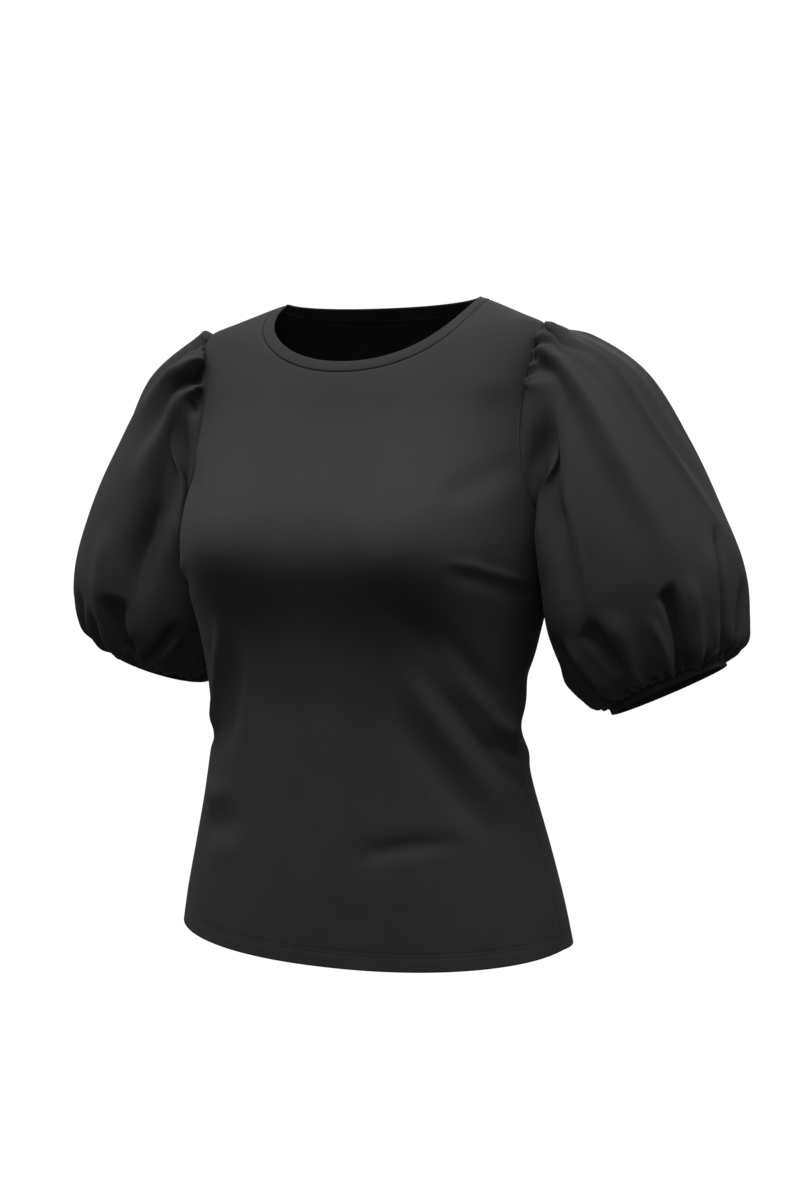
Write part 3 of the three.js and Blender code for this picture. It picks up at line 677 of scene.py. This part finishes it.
def neckband_points():
    seam_angle, seam_z = neck_ring(NECK_SEAM)
    edge_angle, edge_z = neck_ring(NECK_EDGE)
    seam, edge = body_point(seam_angle, seam_z), rounded(body_point(edge_angle, edge_z))
    seam_normal = body_normal(seam_angle, seam_z)
    edge_normal = rounded(body_normal(edge_angle, edge_z))
    rows = [(share, -2 * FOLD_RADIUS) for share in (0.97, 0.93, 0.8, 0.6, 0.4, 0.2)]
    rows += [(rise / 10, depth) for rise, depth in folded_edge(1)[3:]]
    rows += [(share, 0.0) for share in (0.2, 0.35, 0.5, 0.65, 0.8, 0.87)]
    rows += [(0.92, -0.15), (0.955, -0.5), (0.97, -0.9), (0.97, -1.3)]
    layers = []
    for share, depth in rows:
        normal = unit(mix(edge_normal, seam_normal, share))
        puff = BAND_PUFF * math.sin(math.pi * share) * (1 if depth > -1 else 0)
        layers.append(mix(edge, seam, share) + normal * (depth + puff))
    return np.array(layers)


# The same jersey a touch darker, for the neckband and cuffs: painted shade where these bands lie in shadow.
band_jersey_painted_shade = jersey_material("black_jersey_painted_shade", (0.034, 0.0335, 0.0333))
neckband = lay_cloth(
    "neckband_cloth", neckband_points(), True, band_jersey_painted_shade, lambda point: Vector((0, 0, 1))
)
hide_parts("neckband")

# ---- Sleeves ---------------------------------------------------------------------------
# Short puff sleeves, each one wide piece of jersey gathered into the armhole over the top of
# its head and into its cuff below, and closed by one seam under the arm.

# The left sleeve's form: one ring for each row, from the armhole to the cuff seam. Each has its
# centre, its axis's slope below level, the pitch that lifts its front, and its four reaches.
RING_COLUMNS = ("x", "y", "z", "slope", "pitch", "out", "in", "front", "back")
SLEEVE_RINGS = [
    (190, -4, -90, 2, 0, 54, 118, 47, 88),
    (207, 2, -126, 34, 0, 69, 112, 62, 92),
    (224, 10, -174, 54, 0, 76, 99, 80, 96),
    (240, 17, -226, 63, 1, 86, 90, 93, 99),
    (253, 24, -275, 66, 2, 92, 91, 98, 98),
    (261, 29, -314, 66, 3, 89, 82, 90, 88),
    (266, 31, -337, 66, 2, 82, 68, 76, 72),
]
CUFF_RING = (271, 31, -345, 65, 0, 55, 58, 46, 46)
CUFF_DEPTH = 7.0
RIGHT_SLEEVE = {"inward": 2, "back": 5, "down": 5, "sag": 6, "droop": 15, "cuff_tuck": 20}
DROOP_START = 0.45  # shares of the sleeve's length
TUCK_START = 0.8
LIFT_OFF = 0.12  # where the sleeve is fully clear of the body
CLEARANCE = 4.0  # between the body and the sleeve beside it
CLEARANCE_SOFTNESS = 7.0
EASING_PASSES = 45  # over the cloth that leaves the front of the armhole
EASED_TURNS = (76, 92, 150, 170)  # where that cloth starts, is in full, starts to end and ends
EASED_SHARES = (0.02, 0.06, 0.3, 0.42)
SLEEVE_COLUMNS = 321
SLEEVE_ROWS = 142
UNDERARM_SEAM = {"depth": 1.1, "width": 0.45}  # the groove along it, in mm and degrees


def ring_directions(ring):
    slope, pitch = (math.radians(ring[RING_COLUMNS.index(key)]) for key in ("slope", "pitch"))
    outward = np.array([math.sin(slope), 0, math.cos(slope)])
    forward = np.array([0, -math.cos(pitch), math.sin(pitch)])
    return outward, forward


def ring_points(ring, turn):
    values = dict(zip(RING_COLUMNS, ring))
    outward, forward = ring_directions(ring)
    out, ahead = np.cos(np.radians(turn))[..., None], np.sin(np.radians(turn))[..., None]
    middle = np.array([values["x"], values["y"], values["z"]])
    return (
        middle
        + outward * out * np.where(out > 0, values["out"], values["in"])
        + forward * ahead * np.where(ahead > 0, values["front"], values["back"])
    )


def armhole_points(turn):
    """The armhole, its directions square to the body's cloth, and those towards its middle."""
    ring = np.radians(turn)
    z = mix(ARMHOLE["underarm"], ARMHOLE["tip"], (1 + np.cos(ring)) / 2)
    ahead = np.sin(ring) >= 0
    angle = np.where(ahead, armhole_angle(z, "front"), -armhole_angle(z, "back"))
    point, normal = body_point(angle, z), body_normal(angle, z)
    middle_z = (ARMHOLE["tip"] + ARMHOLE["underarm"]) / 2
    centre = np.array([point[..., 0].mean(), point[..., 1].mean(), middle_z])
    inward = centre - point
    inward = unit(inward - normal * (inward * normal).sum(-1, keepdims=True))
    return point, normal, inward


def cuff_axis():
    outward, forward = ring_directions(CUFF_RING)
    return unit(np.cross(outward, forward))


def left_settle(turn, share):
    return np.zeros(np.broadcast(turn, share).shape + (3,))


def right_settle(turn, share):
    """How far the right sleeve lies from the left one's place, before it is mirrored."""
    turn, share = np.broadcast_arrays(turn, share)
    share = np.clip(share, 0, 1)
    sag = RIGHT_SLEEVE["sag"] * 27 / 4 * share * (1 - share) ** 2
    outer_side = (1 + np.cos(np.radians(turn))) / 2
    droop = RIGHT_SLEEVE["droop"] * outer_side * smooth_rise(DROOP_START, 1, share)
    tuck = RIGHT_SLEEVE["cuff_tuck"] * smooth_rise(TUCK_START, 1, share)
    x = -RIGHT_SLEEVE["inward"] * share - sag
    y = RIGHT_SLEEVE["back"] * share
    z = -RIGHT_SLEEVE["down"] * share - droop
    return np.stack([x, y, z], axis=-1) - cuff_axis() * tuck[..., None]


def body_half_width(y, z):
    """Half width of the body at depth y."""
    quarter = np.where(y < body_point(0.0, z)[..., 1], 90.0, -90.0)
    near, far = np.zeros_like(quarter), quarter.copy()
    for _ in range(14):
        middle = (near + far) / 2
        passed = (body_point(middle, z)[..., 1] - y) * quarter < 0
        far = np.where(passed, middle, far)
        near = np.where(passed, near, middle)
    return body_point(near, z)[..., 0]


def sleeve_base(turn, share, settle):
    """Points of a sleeve's form: turn 0 is its top, 90 the front, 180 underneath; share runs
    from the armhole to the cuff seam."""
    turn, share = np.broadcast_arrays(np.asarray(turn, float), np.asarray(share, float))
    point, normal, _ = armhole_points(turn)
    rings = [point + normal * SEAM_GAP]
    rings += [ring_points(ring, turn) for ring in (*SLEEVE_RINGS, CUFF_RING)]
    round_turns = np.arange(0, 360, 10.0)
    first, first_normal, _ = armhole_points(round_turns)
    coarse = [first + first_normal * SEAM_GAP]
    coarse += [ring_points(ring, round_turns) for ring in (*SLEEVE_RINGS, CUFF_RING)]
    steps = [np.linalg.norm(b - a, axis=-1).mean() for a, b in zip(coarse, coarse[1:])]
    knots = np.concatenate(([0], np.cumsum(steps)))
    chords = [(b - a) / step for a, b, step in zip(rings, rings[1:], steps)]
    slopes = [1.5 * chords[0] - 0.5 * chords[1]]
    for k in range(1, len(rings) - 1):
        slopes.append(mix(chords[k - 1], chords[k], steps[k - 1] / (steps[k - 1] + steps[k])))
    slopes.append(chords[-1])
    place = np.clip(share, 0, 1) * knots[-1]
    lofted = np.zeros(turn.shape + (3,))
    for k, step in enumerate(steps):
        here = (place >= knots[k]) & (place <= knots[k + 1] + 1e-9)
        t = ((place - knots[k]) / step)[..., None]
        curve = (
            rings[k] * (1 + 2 * t) * (1 - t) ** 2
            + slopes[k] * step * t * (1 - t) ** 2
            + rings[k + 1] * t * t * (3 - 2 * t)
            + slopes[k + 1] * step * t * t * (t - 1)
        )
        lofted = np.where(here[..., None], curve, lofted)
    return lofted + settle(turn, share)


def clear_of_body(points, share):
    opening = np.clip(share / LIFT_OFF, 0, 1)
    wall = body_half_width(points[..., 1], points[..., 2]) + CLEARANCE * opening
    spare = points[..., 0] - wall
    moved = wall + (spare + np.hypot(spare, CLEARANCE_SOFTNESS * opening)) / 2
    cleared = points.copy()
    cleared[..., 0] = np.where(opening > 0, moved, points[..., 0])
    return cleared


def sleeve_normals(turn, share, settle):
    turn, share = np.broadcast_arrays(np.asarray(turn, float), np.asarray(share, float))
    around = sleeve_base(turn + 0.5, share, settle) - sleeve_base(turn - 0.5, share, settle)
    low, high = np.clip(share - 0.004, 0, 1), np.clip(share + 0.004, 0, 1)
    along = sleeve_base(turn, high, settle) - sleeve_base(turn, low, settle)
    return unit(np.cross(around, along))


def sleeve_rows():
    """Shares along a sleeve, closer together at both gathered ends."""
    t = np.linspace(0, 1, SLEEVE_ROWS)
    return 0.5 * t + 0.5 * smooth_rise(0, 1, t)


def sleeve_points(settle, creases):
    broad = np.linspace(0, 178.6, SLEEVE_COLUMNS // 2 - 3)
    half = np.concatenate([broad, [179.1, 179.5, 179.8, 180.0]])
    turn = np.concatenate([-half[:0:-1], half])[None, :]
    share = sleeve_rows()[:, None]
    base = sleeve_base(turn, share, settle)
    normals = sleeve_normals(turn, share, settle)

    def place(at_turn, at_share):
        spots = sleeve_base(at_turn, at_share, settle)
        return spots, sleeve_normals(at_turn, at_share, settle)

    relief = crease_relief(base, creases, place)
    relief = relief * smooth_rise(0, 0.012, share) * (1 - smooth_rise(0.985, 1, share))
    from_seam = (180 - abs(turn)) / UNDERARM_SEAM["width"]
    relief = relief - UNDERARM_SEAM["depth"] * np.exp(-(from_seam**2))
    points = clear_of_body(base + normals * relief[..., None], share)
    eased = smooth_rise(*EASED_TURNS[:2], turn) * (1 - smooth_rise(*EASED_TURNS[2:], turn))
    eased = eased * smooth_rise(*EASED_SHARES[:2], share) * (1 - smooth_rise(*EASED_SHARES[2:], share))
    for _ in range(EASING_PASSES):
        around = (points[1:-1, :-2] + points[1:-1, 2:] + points[:-2, 1:-1] + points[2:, 1:-1]) / 4
        points[1:-1, 1:-1] += (around - points[1:-1, 1:-1]) * eased[1:-1, 1:-1, None]
    seam, seam_normal, inward = armhole_points(turn)
    edge = [seam + seam_normal * depth + inward * 0.6 for depth in (-SEAM_ALLOWANCE, -2.0, -0.4)]
    points[0] = (seam + seam_normal * SEAM_GAP + inward * 0.45)[0]
    return np.concatenate([np.concatenate(edge), points])


def mirrored(points):
    return points * np.array([-1.0, 1.0, 1.0])


def outward_from_sleeve(side):
    rings = [Vector((side * ring[0], ring[1], ring[2])) * 0.001 for ring in SLEEVE_RINGS]

    def outward(point):
        return point - min(rings, key=lambda centre: (point - centre).length)

    return outward


# start (turn, share), by, end, width, height, and what sets it apart
LEFT_CREASES = [
    ((17, 0.0), (22, 0.09), (29, 0.22), 4.5, -12.0, {"grow": 1.8, "head": 0.12, "tail": 0.5}),
    ((34, 0.0), (36, 0.06), (38, 0.15), 6, 5.0, {"head": 0.1, "tail": 0.6}),
    ((32, 0.06), (47, 0.2), (42, 0.48), 6, -8.0, {"grow": 2.4, "head": 0.25, "tail": 0.6}),
    ((47, 0.04), (58, 0.24), (42, 0.8), 7, 12.0, {"grow": 2.2, "head": 0.2, "tail": 0.4}),
    ((52, 0.02), (72, 0.16), (76, 0.46), 8, -9.0, {"grow": 2.0, "head": 0.2, "tail": 0.6}),
    ((10, 0.1), (23, 0.33), (-3, 0.66), 3.6, 6.0, {"grow": 1.4, "head": 0.3, "lean": 0.3}),
    ((0, 0.08), (7, 0.32), (-12, 0.64), 8, -6.0, {"grow": 1.7, "head": 0.3}),
    ((70, 0.0), (82, 0.06), (90, 0.13), 4.0, 4.0, {"grow": 1.6, "head": 0.12, "tail": 0.6}),
    ((102, 0.1), (109, 0.34), (112, 0.78), 11, -22.0, {"grow": 1.5, "head": 0.35, "tail": 0.45}),
    ((88, 0.16), (95, 0.34), (99, 0.74), 5, 4.5, {"grow": 1.4}),
    ((95, 0.5), (99, 0.64), (109, 0.8), 4, 1.8, {}),
    ((-20, 0.04), (-22, 0.28), (-26, 0.66), 8, 5.0, {"grow": 2.2, "head": 0.2}),
    ((-36, 0.02), (-42, 0.22), (-44, 0.54), 7, -7.5, {"grow": 2.2, "head": 0.2}),
    ((-54, 0.02), (-60, 0.2), (-60, 0.5), 7, 7.0, {"grow": 2.2, "head": 0.2}),
    ((-72, 0.02), (-84, 0.2), (-86, 0.46), 7, -7.5, {"grow": 2.2, "head": 0.2}),
    ((-92, 0.04), (-112, 0.24), (-118, 0.5), 10, 5.0, {"grow": 2.0}),
    ((107, 0.74), (100, 0.82), (94, 0.94), 10, -11.0, {"grow": 0.7, "head": 0.2, "tail": 0.35, "crisp": 2.6}),
    ((90, 0.72), (86, 0.84), (86, 0.97), 11, 5.0, {"grow": 0.45, "tail": 0.15}),
    ((58, 0.73), (55, 0.82), (57, 0.99), 7, -12.0, {"grow": 0.8, "head": 0.18, "tail": 0.1, "crisp": 2.6}),
    ((69, 0.78), (66, 0.88), (65, 0.99), 5, 4.0, {"grow": 0.7, "tail": 0.1}),
    ((42, 0.7), (43, 0.84), (47, 0.99), 8, 5.5, {"grow": 0.5, "tail": 0.1}),
    ((9, 0.6), (19, 0.75), (27, 0.97), 6, -6.5, {"grow": 0.6, "head": 0.25, "tail": 0.12}),
    ((20, 0.62), (29, 0.78), (35, 0.98), 8, 4.0, {"grow": 0.5, "tail": 0.1}),
    ((-4, 0.74), (6, 0.86), (16, 0.98), 9, -8.0, {"grow": 0.5, "tail": 0.1}),
    ((124, 0.74), (118, 0.86), (110, 0.98), 11, 5.0, {"grow": 0.5, "tail": 0.1}),
    ((140, 0.7), (134, 0.84), (123, 0.98), 12, -10.0, {"grow": 0.45, "tail": 0.12}),
    ((160, 0.78), (152, 0.88), (141, 0.98), 9, 5.0, {"grow": 0.5, "tail": 0.1}),
    ((176, 0.72), (168, 0.86), (160, 0.98), 11, -9.0, {"grow": 0.45, "tail": 0.12}),
    ((206, 0.74), (204, 0.86), (196, 0.98), 12, -10.0, {"grow": 0.45, "tail": 0.12}),
    ((238, 0.7), (240, 0.84), (236, 0.98), 13, -12.0, {"grow": 0.42, "tail": 0.12}),
    ((256, 0.76), (256, 0.87), (254, 0.98), 9, 5.0, {"grow": 0.5, "tail": 0.1}),
    ((272, 0.74), (274, 0.86), (276, 0.98), 11, -9.0, {"grow": 0.45, "tail": 0.12}),
    ((304, 0.7), (306, 0.83), (312, 0.98), 12, -11.0, {"grow": 0.42, "tail": 0.12}),
    ((332, 0.76), (336, 0.86), (344, 0.98), 10, -8.0, {"grow": 0.5, "tail": 0.12}),
]
RIGHT_CREASES = [
    ((38, 0.0), (60, 0.12), (46, 0.34), 5, 8.0, {"grow": 2.2, "head": 0.12, "tail": 0.5}),
    ((48, 0.0), (53, 0.04), (61, 0.08), 2.8, 2.8, {"head": 0.15}),
    ((50, 0.0), (76, 0.12), (70, 0.4), 5, -13.0, {"grow": 2.6, "head": 0.12, "tail": 0.5}),
    ((60, 0.0), (92, 0.15), (78, 0.42), 4.5, 10.0, {"grow": 2.4, "head": 0.12, "tail": 0.45}),
    ((70, 0.0), (78, 0.03), (88, 0.07), 2.6, -3.0, {"head": 0.15}),
    ((76, 0.01), (100, 0.12), (101, 0.34), 6, -10.0, {"grow": 2.0, "head": 0.2, "tail": 0.5}),
    ((97, 0.1), (103, 0.4), (108, 0.78), 12, -25.0, {"grow": 1.15, "head": 0.4, "tail": 0.4}),
    ((116, 0.2), (120, 0.36), (127, 0.6), 8, 5.0, {"grow": 1.3}),
    ((20, 0.01), (28, 0.16), (22, 0.46), 5, -6.5, {"grow": 3.0, "head": 0.15}),
    ((6, 0.01), (8, 0.2), (-4, 0.56), 6, 6.0, {"grow": 2.6, "head": 0.15}),
    ((-16, 0.01), (-20, 0.22), (-28, 0.52), 6, -7.0, {"grow": 2.6, "head": 0.15}),
    ((-34, 0.01), (-44, 0.24), (-50, 0.58), 6, 7.0, {"grow": 2.6, "head": 0.15}),
    ((-56, 0.01), (-66, 0.22), (-70, 0.48), 6, -7.5, {"grow": 2.6, "head": 0.15}),
    ((-76, 0.02), (-92, 0.2), (-98, 0.52), 7, 6.0, {"grow": 2.4, "head": 0.2}),
    ((74, 0.5), (80, 0.66), (86, 0.84), 12, 5.5, {}),
    ((93, 0.69), (95, 0.8), (102, 0.95), 11, -14.0, {"grow": 0.8, "head": 0.22, "tail": 0.2, "crisp": 2.6}),
    ((76, 0.76), (74, 0.86), (76, 0.97), 8, -7.5, {"grow": 0.5, "tail": 0.15}),
    ((108, 0.78), (103, 0.87), (100, 0.97), 8, -6.5, {"grow": 0.5, "tail": 0.15}),
    ((136, 0.7), (126, 0.8), (110, 0.93), 6, -8.0, {"grow": 0.9, "head": 0.25, "tail": 0.2}),
    ((150, 0.7), (142, 0.82), (130, 0.95), 15, -7.0, {}),
    ((58, 0.72), (56, 0.84), (58, 0.97), 12, -9.0, {"grow": 0.45, "tail": 0.15}),
    ((36, 0.76), (37, 0.86), (42, 0.97), 10, -8.0, {"grow": 0.45, "tail": 0.15}),
    ((14, 0.7), (18, 0.84), (24, 0.97), 12, -10.0, {"grow": 0.45, "tail": 0.15}),
    ((-10, 0.76), (-6, 0.86), (2, 0.97), 10, -7.5, {"grow": 0.5, "tail": 0.15}),
    ((-40, 0.7), (-36, 0.84), (-26, 0.97), 12, -10.0, {"grow": 0.45, "tail": 0.15}),
    ((-70, 0.76), (-66, 0.86), (-58, 0.97), 10, -8.0, {"grow": 0.5, "tail": 0.15}),
    ((-98, 0.7), (-98, 0.84), (-94, 0.97), 13, -11.0, {"grow": 0.45, "tail": 0.15}),
    ((-132, 0.74), (-128, 0.86), (-120, 0.97), 11, -9.0, {"grow": 0.45, "tail": 0.15}),
    ((174, 0.74), (168, 0.86), (160, 0.97), 12, -9.0, {"grow": 0.45, "tail": 0.15}),
]


def gathers(seed):
    """Small gathers along a sleeve's two seams, unevenly spaced and unlike in length."""
    chance = np.random.default_rng(seed)
    rows = []
    turn = -84.0
    while turn < 74:
        drift = turn * 0.12 + chance.uniform(-2, 2)
        reach = chance.uniform(0.06, 0.14)
        ridge = ((turn, 0.0), (turn + drift / 2, reach / 2), (turn + drift, reach))
        height = chance.uniform(3.0, 5.0) * (0.45 if -30 < turn < 14 else 1.0)
        shape = {"grow": 1.7, "head": 0.1, "tail": 0.7}
        rows.append((*ridge, chance.uniform(2.8, 4.0), height, shape))
        turn += chance.uniform(7.5, 11.5)
        pit = ((turn - 4, 0.0), (turn - 4 + drift / 2, 0.025), (turn - 4 + drift, 0.05))
        rows.append((*pit, 2.2, -chance.uniform(1.6, 2.8), {"head": 0.1, "tail": 0.7}))
    turn = 0.0
    while turn < 352:
        drift = chance.uniform(-4, 4)
        reach = chance.uniform(0.86, 0.93)
        ridge = ((turn + drift, reach), (turn + drift / 3, reach / 2 + 0.5), (turn, 1.0))
        shape = {"grow": 0.6, "head": 0.6, "tail": 0.05}
        rows.append((*ridge, chance.uniform(3.4, 4.6), chance.uniform(3.0, 4.8), shape))
        turn += chance.uniform(7, 12)
        pit = ((turn - 5, 0.95), (turn - 5, 0.975), (turn - 5, 1.0))
        rows.append((*pit, 2.1, -chance.uniform(2.6, 4.2), {"head": 0.4, "tail": 0.05}))
    return rows


sleeve_left = lay_cloth(
    "sleeve_left_cloth",
    sleeve_points(left_settle, LEFT_CREASES + gathers(3)),
    True,
    jersey,
    outward_from_sleeve(1),
)
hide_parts("sleeve_left")
sleeve_right = lay_cloth(
    "sleeve_right_cloth",
    mirrored(sleeve_points(right_settle, RIGHT_CREASES + gathers(8))),
    True,
    jersey,
    outward_from_sleeve(-1),
)
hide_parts("sleeve_right")

# ---- Cuffs -----------------------------------------------------------------------------
# A narrow strip of the jersey for each sleeve, folded lengthwise and sewn on over the gathers.

CUFF_COLUMNS = 241


def cuff_points(settle):
    turn = np.linspace(-180, 180, CUFF_COLUMNS)
    seam = ring_points(CUFF_RING, turn) + settle(turn, np.ones_like(turn))
    axis = cuff_axis()
    around = np.gradient(seam, axis=0)
    outward = unit(np.cross(around, axis))
    rows = [(-2.0, -2.6), (-0.5, -2.2)]
    rows += [(CUFF_DEPTH - distance, depth) for distance, depth in folded_edge(CUFF_DEPTH - 1)]
    rows += [(distance, 0.0) for distance in (5.2, 4.0, 2.8, 1.6)]
    rows += [(0.8, -0.2), (0.3, -0.9), (0.2, -1.6)]
    return np.array([seam + axis * along + outward * depth for along, depth in rows])


cuff_left = lay_cloth(
    "cuff_left_cloth", cuff_points(left_settle), True, band_jersey_painted_shade, outward_from_sleeve(1)
)
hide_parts("cuff_left")
cuff_right = lay_cloth(
    "cuff_right_cloth", mirrored(cuff_points(right_settle)), True, band_jersey_painted_shade, outward_from_sleeve(-1)
)
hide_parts("cuff_right")
